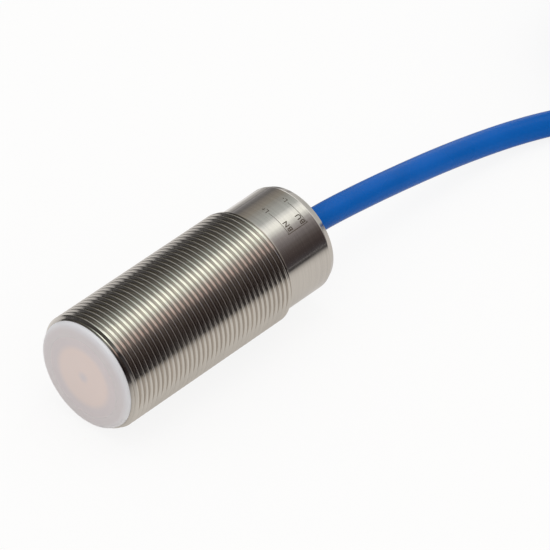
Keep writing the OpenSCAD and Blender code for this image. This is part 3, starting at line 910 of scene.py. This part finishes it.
class SENSOR_OT_cores(bpy.types.Operator):
    """Strips the far end: two insulated cores with bare twisted strands"""

    bl_idname = "sensor.cores"
    bl_label = "Stripped cores"

    # Each core's colour, and the side to which it leans out
    CORES = (("brown", (0.12, 0.045, 0.018), -1), ("blue", (0.02, 0.12, 0.45), 1))
    # The bare end, how far the strands start inside the insulation, and how far the core
    # starts inside the jacket
    BARE = 8 * MM
    COVERED = 2.5 * MM
    INSIDE = 3 * MM
    # Seven wires: their radius, how far the outer six lie from the middle one, and their twist
    WIRE_R = 0.17 * MM
    WIRE_AT = 0.33 * MM
    TWIST = 0.42

    def execute(self, context):
        lead = spot(context).lead
        copper = grained_material("bare strands", (0.75, 0.43, 0.28), (0.22, 0.36), grain=3000,
                                  bump=0.1, drift=0.1, metallic=1.0)
        for colour, rgb, side in self.CORES:
            node = colour + "_core_end"
            slot = colour + "_insulation"
            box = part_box(node)
            bare_from = box[1][1] - self.BARE
            way = self.middle(lead, box, side)
            cut = [p for p in way if p.y <= bare_from + 0.01 * MM]
            skin = tube(colour + "_core_skin", cut, lead.core_d / 2, sides=6)
            insulation = grained_material(slot.replace("_", " "), rgb, (0.3, 0.4), grain=1500,
                                          bump=0.1)
            dress(skin, insulation, replaces=(node,))
            rest = [p for p in way if p.y > bare_from - self.COVERED]
            strands = self.strands(colour + "_core_strands", rest)
            dress(strands, copper)
        return {"FINISHED"}

    def middle(self, lead, box, side):
        """The core's middle: out of the jacket, down onto the turn below, slightly apart."""
        x = (box[0][0] + box[1][0]) / 2
        z = (box[0][2] + box[1][2]) / 2
        start, end = box[0][1] - self.INSIDE, box[1][1]
        high = HANK_TOP - lead.cable_d / 2
        points = []
        count = 60
        for k in range(count + 1):
            y = start + (end - start) * k / count
            fall = ease((y - start - 1 * MM) / (12 * MM))
            apart = 0.55 * MM * ease((y - start - 12 * MM) / (20 * MM))
            points.append(Vector((x + side * apart, y, high + (z - high) * fall)))
        return points

    def strands(self, name, rest):
        """Fine wires laid as one twisted conductor, six of them round the seventh."""
        wires = []
        for k in range(7):
            reach = 0 if k == 6 else self.WIRE_AT
            points = []
            for index, p in enumerate(rest):
                turn = math.tau * k / 6 + index * self.TWIST
                points.append(p + Vector((reach * math.cos(turn), 0, reach * math.sin(turn))))
            pick(tube(name, points, self.WIRE_R, sides=2))
            bpy.ops.object.convert(target="MESH")
            wires.append(bpy.context.object)
        return joined(wires, name)


class SENSOR_OT_declare(bpy.types.Operator):
    bl_idname = "sensor.declare"
    bl_label = "Declare the lead"

    def execute(self, context):
        return {"FINISHED"}


# The inner pieces


def board_material(colour):
    """Glass fibre board: green mask over its weave, with copper tracks as paler lines."""
    sheet = Sheet("circuit board")
    _, x, y, z = sheet.place()
    flat = sheet.add("ShaderNodeCombineXYZ", {0: y, 1: sheet.plus(x, z)}).outputs[0]
    weave = sheet.add("ShaderNodeTexBrick", {
        "Vector": flat, "Scale": 260, "Mortar Size": 0.05, "Brick Width": 1.3, "Row Height": 0.42,
    }).outputs["Fac"]
    grains = sheet.group("moulded grain", scale=5000.0, drift=0.1, colour=colour)
    pale = tuple(min(1, 1.9 * c) for c in colour)
    sheet.set(base_color=sheet.mix(weave, grains["Tone"], pale), roughness=0.38)
    relief = sheet.plus(sheet.times(weave, 0.6), sheet.times(grains["Height"], 0.4))
    sheet.bump(relief, 0.4, 0.04 * MM)
    return sheet.material


def winding_material(colour, middle):
    """Enamelled wire wound side by side: bands across the ring, with painted shade in the gaps
    between them.
    """
    sheet = Sheet("enamelled winding")
    _, x, _, z = sheet.place()
    side = sheet.calc("SUBTRACT", x, middle[0])
    back = sheet.calc("SUBTRACT", z, middle[2])
    turns = 36.0
    wave = sheet.calc("SINE", sheet.times(sheet.calc("ARCTAN2", back, side), turns))
    # Painted shade: the gaps between the turns are a quarter as bright as the wire
    dark = tuple(0.25 * c for c in colour)
    sheet.set(base_color=sheet.layers(dark, (wave, -0.9, 0.3, colour)), metallic=0.8,
              roughness=0.28)
    sheet.bump(wave, 0.6, 0.08 * MM)
    return sheet.material


def resin_material(colour):
    """Cast resin: glossy, with small frozen bubbles and a slow ripple."""
    sheet = Sheet("cast resin")
    place, *_ = sheet.place()
    cells = sheet.add("ShaderNodeTexVoronoi", {"Vector": place, "Scale": 420})
    bubble = sheet.spread(cells.outputs["Distance"], 0.08, 0.22)
    pale = tuple(1.6 * c for c in colour)
    sheet.set(base_color=sheet.mix(bubble, pale, colour), roughness=0.18)
    sheet.bump(sheet.plus(bubble, sheet.noise(place, 180.0)), 0.25, 0.08 * MM)
    return sheet.material


class SENSOR_OT_inside(bpy.types.Operator):
    """Finishes the inner pieces, whose shapes come from the frame as they are"""

    bl_idname = "sensor.inside"
    bl_label = "Inner pieces"

    # Finish of each slot: roughness from and to, grain scale, bump, drift of tone, metallic
    FINISHES = {
        "steel": (0.2, 0.3, 3000, 0.1, 0.04, 1.0),
        "clear_plastic": (0.35, 0.45, 900, 0.05, 0.02, 0.0),
        "seal": (0.55, 0.75, 2200, 0.3, 0.08, 0.0),
        "copper": (0.25, 0.42, 2600, 0.15, 0.12, 1.0),
        "tin": (0.28, 0.45, 3200, 0.15, 0.06, 1.0),
        "light_plastic": (0.45, 0.6, 2400, 0.2, 0.05, 0.0),
        "sheet_brass": (0.25, 0.4, 1600, 0.15, 0.08, 1.0),
        "chip_plastic": (0.5, 0.65, 4200, 0.35, 0.05, 0.0),
        "trimmer_plastic": (0.4, 0.55, 2600, 0.2, 0.05, 0.0),
        "ferrite": (0.55, 0.75, 5200, 0.5, 0.1, 0.0),
        "can": (0.3, 0.42, 1500, 0.1, 0.05, 1.0),
        "ceramic": (0.4, 0.6, 3600, 0.3, 0.1, 0.0),
        "dark_plastic": (0.42, 0.56, 3200, 0.35, 0.05, 0.0),
        "brown_insulation": (0.3, 0.4, 1500, 0.1, 0.05, 0.0),
        "blue_insulation": (0.3, 0.4, 1500, 0.1, 0.05, 0.0),
        "jacket": (0.34, 0.44, 1800, 0.2, 0.05, 0.0),
        "tie_nylon": (0.35, 0.5, 1500, 0.1, 0.04, 0.0),
    }

    def execute(self, context):
        record = frame["record"]
        colours = {row["slot"]: tuple(row["base_color"][:3]) for row in record["materials"]}
        slots = {row["node"]: row["material_slot"] for row in record["subparts"]}
        made = {
            "board": board_material(colours["board"]),
            "resin": resin_material(colours["resin"]),
        }
        for slot, (smoothest, roughest, grain, bump, drift, metallic) in self.FINISHES.items():
            made[slot] = grained_material(
                "inner " + slot.replace("_", " "), colours[slot], (smoothest, roughest),
                grain=grain, bump=bump, drift=drift, metallic=metallic)
        for node, obj in NODES.items():
            obj.data.materials.clear()
            obj.data.materials.append(made[slots[node]])
        middle = [(a + b) / 2 for a, b in zip(*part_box("choke_winding"))]
        NODES["choke_winding"].data.materials[0] = winding_material(colours["copper"], middle)
        return {"FINISHED"}


# The sleeve and the two end pieces


class SENSOR_OT_sleeve(bpy.types.Operator):
    """Cuts the thread and turns the collar of the steel sleeve"""

    bl_idname = "sensor.sleeve"
    bl_label = "Threaded sleeve"

    # The thread's depth as a share of its pitch, here and where the front chamfer ends
    DEPTH = 0.57
    CHAMFER_DEPTH = 0.6134
    FLANK = math.tan(math.radians(30))
    # Size of the small corners at crest and root, and the merge distance in the thread
    CORNER = 0.11 * MM
    THREAD_WELD = 0.002 * MM

    def execute(self, context):
        sizes = spot(context).sleeve
        rod = self.threaded_rod(sizes)
        blank = self.turned_blank(sizes)
        modify(rod, "turning", "BOOLEAN", operation="INTERSECT", solver="EXACT", object=blank)
        apply_modifiers(rod)
        bpy.data.objects.remove(blank)
        rod.name = "threaded_sleeve"
        smooth(rod, 35)
        # The flanks and flats keep their own normals, and only the small corners look round
        modify(rod, "even shading", "WEIGHTED_NORMAL", mode="FACE_AREA", weight=80,
               keep_sharp=True)
        apply_modifiers(rod)
        steel = steel_material("turned steel", sizes.steel, SLEEVE_TO - sizes.collar_len)
        dress(rod, steel, replaces=("sleeve",))
        return {"FINISHED"}

    def threaded_rod(self, sizes):
        """A right-hand thread, cut a little longer than the whole sleeve."""
        pitch = sizes.pitch
        depth = self.DEPTH * pitch
        root_r = CREST_R - depth
        flank = depth * self.FLANK
        foot = (pitch - sizes.crest_flat - 2 * flank) / 2
        corner = self.CORNER
        nip = 0.25 * corner
        lean = corner * self.FLANK * 1.2
        profile = [
            (root_r, 0.0),
            (root_r, foot - corner),
            (root_r + nip, foot),
            (root_r + corner, foot + lean),
            (CREST_R - corner, foot + flank - lean),
            (CREST_R - nip, foot + flank),
            (CREST_R, foot + flank + corner),
        ]
        profile += [(r, pitch - y) for r, y in reversed(profile)]
        start = SLEEVE_FROM - 1.5 * pitch
        rod = outline("thread", [(r, start + y, AXIS_Z) for r, y in profile], closed=False)
        # The screw turns about the object's origin, so the origin is on the sensor's axis
        bpy.context.scene.cursor.location = (0, 0, AXIS_Z)
        bpy.ops.object.origin_set(type="ORIGIN_CURSOR")
        turns = math.ceil((SLEEVE_TO - start) / pitch) + 1
        modify(rod, "thread", "SCREW", axis="Y", angle=math.tau, screw_offset=pitch,
               iterations=turns, steps=sizes.steps, render_steps=sizes.steps,
               use_merge_vertices=True, merge_threshold=self.THREAD_WELD)
        apply_modifiers(rod)
        settle(rod)
        edit_all(rod)
        bpy.ops.mesh.remove_doubles(threshold=self.THREAD_WELD)
        over = 0.3 * MM
        for y, forward in ((SLEEVE_FROM - over, False), (SLEEVE_TO + over, True)):
            bpy.ops.mesh.select_all(action="SELECT")
            bpy.ops.mesh.bisect(plane_co=(0, y, 0), plane_no=(0, 1, 0), use_fill=True,
                                clear_outer=forward, clear_inner=not forward,
                                threshold=0.0001 * MM)
        bpy.ops.mesh.select_all(action="SELECT")
        bpy.ops.mesh.normals_make_consistent(inside=False)
        bpy.ops.object.mode_set(mode="OBJECT")
        return rod

    def turned_blank(self, sizes):
        """The sleeve without its thread: chamfers, collar, rim and bore."""
        collar_r = CREST_R - sizes.collar_drop
        bore_r = bore_radius(sizes)
        over_r = CREST_R + 0.5 * MM
        start_r = CREST_R - self.CHAMFER_DEPTH * sizes.pitch - 0.05 * MM
        thread_to = SLEEVE_TO - sizes.collar_len
        mouth = 0.3 * MM
        # The rim's chamfer leaves the collar in a rounding of four steps
        slant = math.atan(sizes.rim_depth / sizes.rim_len)
        rounding_from = SLEEVE_TO - sizes.rim_len - sizes.rim_round * math.tan(slant / 2)
        rounding = [(collar_r - sizes.rim_round * (1 - math.cos(slant * k / 4)),
                     rounding_from + sizes.rim_round * math.sin(slant * k / 4))
                    for k in range(5)]
        return turned("blank", [
            (bore_r, SLEEVE_FROM + mouth),
            (bore_r + mouth, SLEEVE_FROM),
            (start_r, SLEEVE_FROM),
            (over_r, SLEEVE_FROM + over_r - start_r),
            (over_r, thread_to - (over_r - collar_r)),
            (collar_r, thread_to),
            *rounding,
            (collar_r - sizes.rim_depth, SLEEVE_TO),
            (bore_r + mouth, SLEEVE_TO),
            (bore_r, SLEEVE_TO - mouth),
        ], sizes.steps)


class SENSOR_OT_marks(bpy.types.Operator):
    """Marks the connection diagram on the collar as a laser does"""

    bl_idname = "sensor.marks"
    bl_label = "Collar marks"

    # Letters on the unrolled collar: their arc, distance behind the face, height and boldness,
    # in millimetres
    LETTERS = (
        ("BN", 13.2, 62.5, 2.0, 0.03), ("BU", 13.1, 66.6, 2.0, 0.03),
        ("L+", 20.5, 61.5, 1.7, 0.006), ("L-", 20.1, 67.5, 1.7, 0.006),
    )

    def execute(self, context):
        collar_r = CREST_R - spot(context).sleeve.collar_drop
        thin, wide = 0.1 * MM, 0.17 * MM
        near, far, box_at = 60.7 * MM, 66.8 * MM, 12.8 * MM
        pieces = [
            self.stroke(box_at, 20.1 * MM, near, near + thin),
            self.stroke(box_at, 19.7 * MM, far, far + thin),
            self.stroke(box_at, box_at + wide, near - 0.25 * MM, far + 0.4 * MM),
        ]
        for body, *sizes in self.LETTERS:
            pieces.append(self.letters(body, *(size * MM for size in sizes)))
        marks = joined(pieces, "collar_marks")
        edit_all(marks)
        bpy.ops.mesh.subdivide(number_cuts=1)
        bpy.ops.object.mode_set(mode="OBJECT")
        # The marks lie just outside the steel, so that they show
        radius = collar_r + 0.015 * MM
        for vertex in marks.data.vertices:
            arc, back = vertex.co.x, -vertex.co.y
            vertex.co = (radius * math.cos(arc / collar_r), FACE_Y + back,
                         AXIS_Z + radius * math.sin(arc / collar_r))
        burnt = grained_material("laser marking", (0.06, 0.04, 0.025), (0.5, 0.65), grain=6000,
                                 bump=0.1, depth=0.01 * MM, drift=0.25)
        dress(marks, burnt)
        return {"FINISHED"}

    def stroke(self, arc_a, arc_b, back_a, back_b):
        """A line on the unrolled collar, cut into short pieces so that it bends."""
        deselect()
        bpy.ops.mesh.primitive_grid_add(
            x_subdivisions=max(1, round((arc_b - arc_a) / (0.5 * MM))), y_subdivisions=1, size=1,
            location=((arc_a + arc_b) / 2, -(back_a + back_b) / 2, 0))
        line = bpy.context.object
        line.scale = (arc_b - arc_a, back_b - back_a, 1)
        settle(line)
        return line

    def letters(self, body, arc, back, size, bold):
        """Terminal letters on the unrolled collar, their tops towards the thread."""
        deselect()
        bpy.ops.object.text_add(location=(arc, -back, 0))
        text = bpy.context.object
        text.data.body = body
        text.data.size = size
        text.data.offset = bold
        text.data.space_character = 1.15
        text.data.resolution_u = 3
        bpy.ops.object.convert(target="MESH")
        settle(text)
        return bpy.context.object


class SENSOR_OT_cap(bpy.types.Operator):
    """Moulds the translucent sensing cap"""

    bl_idname = "sensor.cap"
    bl_label = "Sensing cap"

    def execute(self, context):
        looks = spot(context)
        cap = looks.cap
        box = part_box("sensing_cap")
        flange_r = (box[1][0] - box[0][0]) / 2
        flange_y = FACE_Y + cap.flange_t
        quarter = [math.radians(90 * k / 10) for k in range(11)]
        edge = [(flange_r - cap.edge_round * (1 - math.sin(a)),
                 FACE_Y + cap.edge_round * (1 - math.cos(a))) for a in quarter]
        # The skirt inside the sleeve, with its seal groove, and the head that holds the disc
        bore_r = bore_radius(looks.sleeve)
        skirt_r = bore_r - PLAY
        skirt_in = skirt_r - 1.2 * MM
        skirt_to = box[1][1]
        groove_r = bore_r - GROOVE_DEEP
        groove_y = flange_y + 1.4 * MM
        head_r = skirt_r - 1.85 * MM
        head_to = FACE_Y + 7.5 * MM
        wall = FACE_Y + 1.97 * MM
        piece = turned("moulded_cap", [
            (0.0, FACE_Y), (head_r / 2, FACE_Y), (head_r, FACE_Y), *edge,
            (flange_r - 0.1 * MM, flange_y), (skirt_r, flange_y),
            (skirt_r, groove_y), (groove_r, groove_y),
            (groove_r, groove_y + GROOVE_WIDE), (skirt_r, groove_y + GROOVE_WIDE),
            (skirt_r, skirt_to), (skirt_in, skirt_to),
            (skirt_in, head_to), (head_r, head_to),
            (head_r, wall), (0.0, wall),
        ])
        dress(piece, self.milky(cap), replaces=("sensing_cap",))
        piece.data.materials.append(self.window(cap))
        piece.data.materials.append(self.inner_wall(cap))
        near = 0.01 * MM
        for face in piece.data.polygons:
            middle = face.center
            if math.hypot(middle.x, middle.z - AXIS_Z) > head_r:
                continue
            if middle.y < FACE_Y + near:
                face.material_index = 1
            elif abs(middle.y - wall) < near:
                face.material_index = 2
        self.electrodes(cap)
        return {"FINISHED"}

    def milky(self, cap):
        """The thick parts of the moulding, which scatter all light: whiter towards the rim."""
        sheet = Sheet("milky cap")
        radius = sheet.group("distance from the axis")["Radius"]
        grains = sheet.group("moulded grain", scale=900.0, drift=0.012, colour=cap.plastic)
        inner = sheet.spread(radius, 12.2 * MM, 14.6 * MM, 1.0, 0.0)
        sheet.set(base_color=sheet.mix(inner, grains["Tone"], cap.body), roughness=0.36,
                  subsurface_weight=0.3, subsurface_scale=1.5 * MM,
                  subsurface_radius=(1.0, 0.95, 1.0))
        sheet.bump(grains["Height"], 0.05, 0.03 * MM)
        return sheet.material

    def window(self, cap):
        """The thin front wall: milky and partly clear, with the blurred electrodes behind it
        painted on as a warm disc and a darker dot.
        """
        sheet = Sheet("milky window")
        grains = sheet.group("moulded grain", scale=900.0, drift=0.012, colour=cap.window)
        radius = sheet.group("distance from the axis")["Radius"]
        # Painted show-through: a warm tint over the copper disc and a darker dot over the pin's
        # head, both centred on the axis
        warm = sheet.spread(radius, 6.8 * MM, 9.1 * MM, 1.0, 0.0)
        pin = sheet.spread(radius, 0.2 * MM, 2.1 * MM, 0.0, 1.0)
        tone = sheet.mix(sheet.times(warm, pin), grains["Tone"], cap.warm)
        sheet.set(base_color=tone, roughness=0.8, transmission_weight=cap.clear, ior=1.45,
                  coat_weight=0.7, coat_roughness=0.3)
        sheet.bump(grains["Height"], 0.05, 0.03 * MM)
        return sheet.material

    def inner_wall(self, cap):
        """The inside of the front wall, moulded smooth and left clear."""
        sheet = Sheet("clear inner wall")
        grains = sheet.group("moulded grain", scale=900.0, drift=0.01, colour=cap.window)
        sheet.set(base_color=grains["Tone"], roughness=0.1, transmission_weight=1.0, ior=1.45)
        sheet.bump(grains["Height"], 0.02, 0.02 * MM)
        return sheet.material

    def electrodes(self, cap):
        """The copper disc and the tinned ring and pins, in the tones that show through."""
        for name, colour, grain, nodes in (
            ("copper disc", cap.disc, 2600, ["sensing_electrode"]),
            ("tinned ring", cap.guard, 3200, ["guard_ring", "centre_pin", "guard_pins"]),
        ):
            metal = grained_material(name, colour, (0.5, 0.6), grain=grain, bump=0.15,
                                     drift=0.03, metallic=0.3)
            for node in nodes:
                NODES[node].data.materials[0] = metal


class SENSOR_OT_rear(bpy.types.Operator):
    """Moulds the rear cap with its cable boss"""

    bl_idname = "sensor.rear"
    bl_label = "Rear cap"

    def execute(self, context):
        looks = spot(context)
        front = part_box("rear_cap")[0][1]
        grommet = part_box("cable_grommet")
        grommet_r = (grommet[1][0] - grommet[0][0]) / 2 + PLAY
        grommet_to = grommet[1][1]
        hole_r = looks.lead.cable_d / 2 + PLAY
        # The plug in the bore, with its seal groove and the barb that snaps into the sleeve
        bore_r = bore_radius(looks.sleeve)
        cap_r = bore_r - PLAY
        groove_r = bore_r - GROOVE_DEEP
        groove_y = front + 2.6 * MM
        barb_from, barb_to = front + 6.05 * MM, front + 7.55 * MM
        # The rear face and the boss on it, which tapers from its foot to its tip
        face = SLEEVE_TO - 0.4 * MM
        foot_r, tip_r = 5.5 * MM, 4.7 * MM
        piece = turned("moulded_rear_cap", [
            (grommet_r, front), (cap_r, front), (cap_r, groove_y), (groove_r, groove_y),
            (groove_r, groove_y + GROOVE_WIDE), (cap_r, groove_y + GROOVE_WIDE),
            (cap_r, barb_from), (cap_r + 0.3 * MM, barb_to), (cap_r, barb_to),
            (cap_r, face - 0.25 * MM), (cap_r - 0.07 * MM, face - 0.07 * MM),
            (cap_r - 0.25 * MM, face), (foot_r + 0.6 * MM, face),
            (foot_r + 0.25 * MM, face + 0.08 * MM), (foot_r, face + 0.45 * MM),
            (tip_r + 0.12 * MM, BOSS_TO - 0.4 * MM), (tip_r - 0.02 * MM, BOSS_TO - 0.13 * MM),
            (tip_r - 0.3 * MM, BOSS_TO), (hole_r + 0.2 * MM, BOSS_TO),
            (hole_r, BOSS_TO - 0.2 * MM), (hole_r, grommet_to), (grommet_r, grommet_to),
        ])
        black = grained_material("fine grained black", (0.045, 0.047, 0.052), (0.42, 0.56),
                                 grain=3200, bump=0.35, depth=0.04 * MM)
        dress(piece, black, replaces=("rear_cap",))
        return {"FINISHED"}


class SENSOR_PT_looks(bpy.types.Panel):
    """Lists the steps in the order they are made"""

    bl_idname = "SENSOR_PT_looks"
    bl_label = "Proximity sensor"
    bl_space_type = "VIEW_3D"
    bl_region_type = "UI"
    bl_category = "Sensor"

    def draw(self, context):
        for step in STEPS:
            self.layout.operator(step.bl_idname)


STEPS = (
    SENSOR_OT_stage, SENSOR_OT_lead, SENSOR_OT_ties, SENSOR_OT_cores, SENSOR_OT_declare,
    SENSOR_OT_inside, SENSOR_OT_sleeve, SENSOR_OT_marks, SENSOR_OT_cap, SENSOR_OT_rear,
)
GROUPS = (SleeveSizes, CapSizes, LeadSizes, StageSizes, SensorLooks)


def register():
    """Registers the property groups, the operators and the panel."""
    for kind in (*GROUPS, *STEPS, SENSOR_PT_looks):
        bpy.utils.register_class(kind)
    bpy.types.Scene.sensor_looks = bpy.props.PointerProperty(type=SensorLooks)


def unregister():
    """Takes them away again."""
    del bpy.types.Scene.sensor_looks
    for kind in reversed((*GROUPS, *STEPS, SENSOR_PT_looks)):
        bpy.utils.unregister_class(kind)


def main():
    """Builds everything in order."""
    register()
    bpy.ops.sensor.stage()
    bpy.ops.sensor.lead()
    bpy.ops.sensor.ties()
    bpy.ops.sensor.cores()
    bpy.ops.sensor.declare()
    bpy.ops.sensor.inside()
    bpy.ops.sensor.sleeve()
    bpy.ops.sensor.marks()
    bpy.ops.sensor.cap()
    bpy.ops.sensor.rear()


if __name__ == "__main__":
    main()
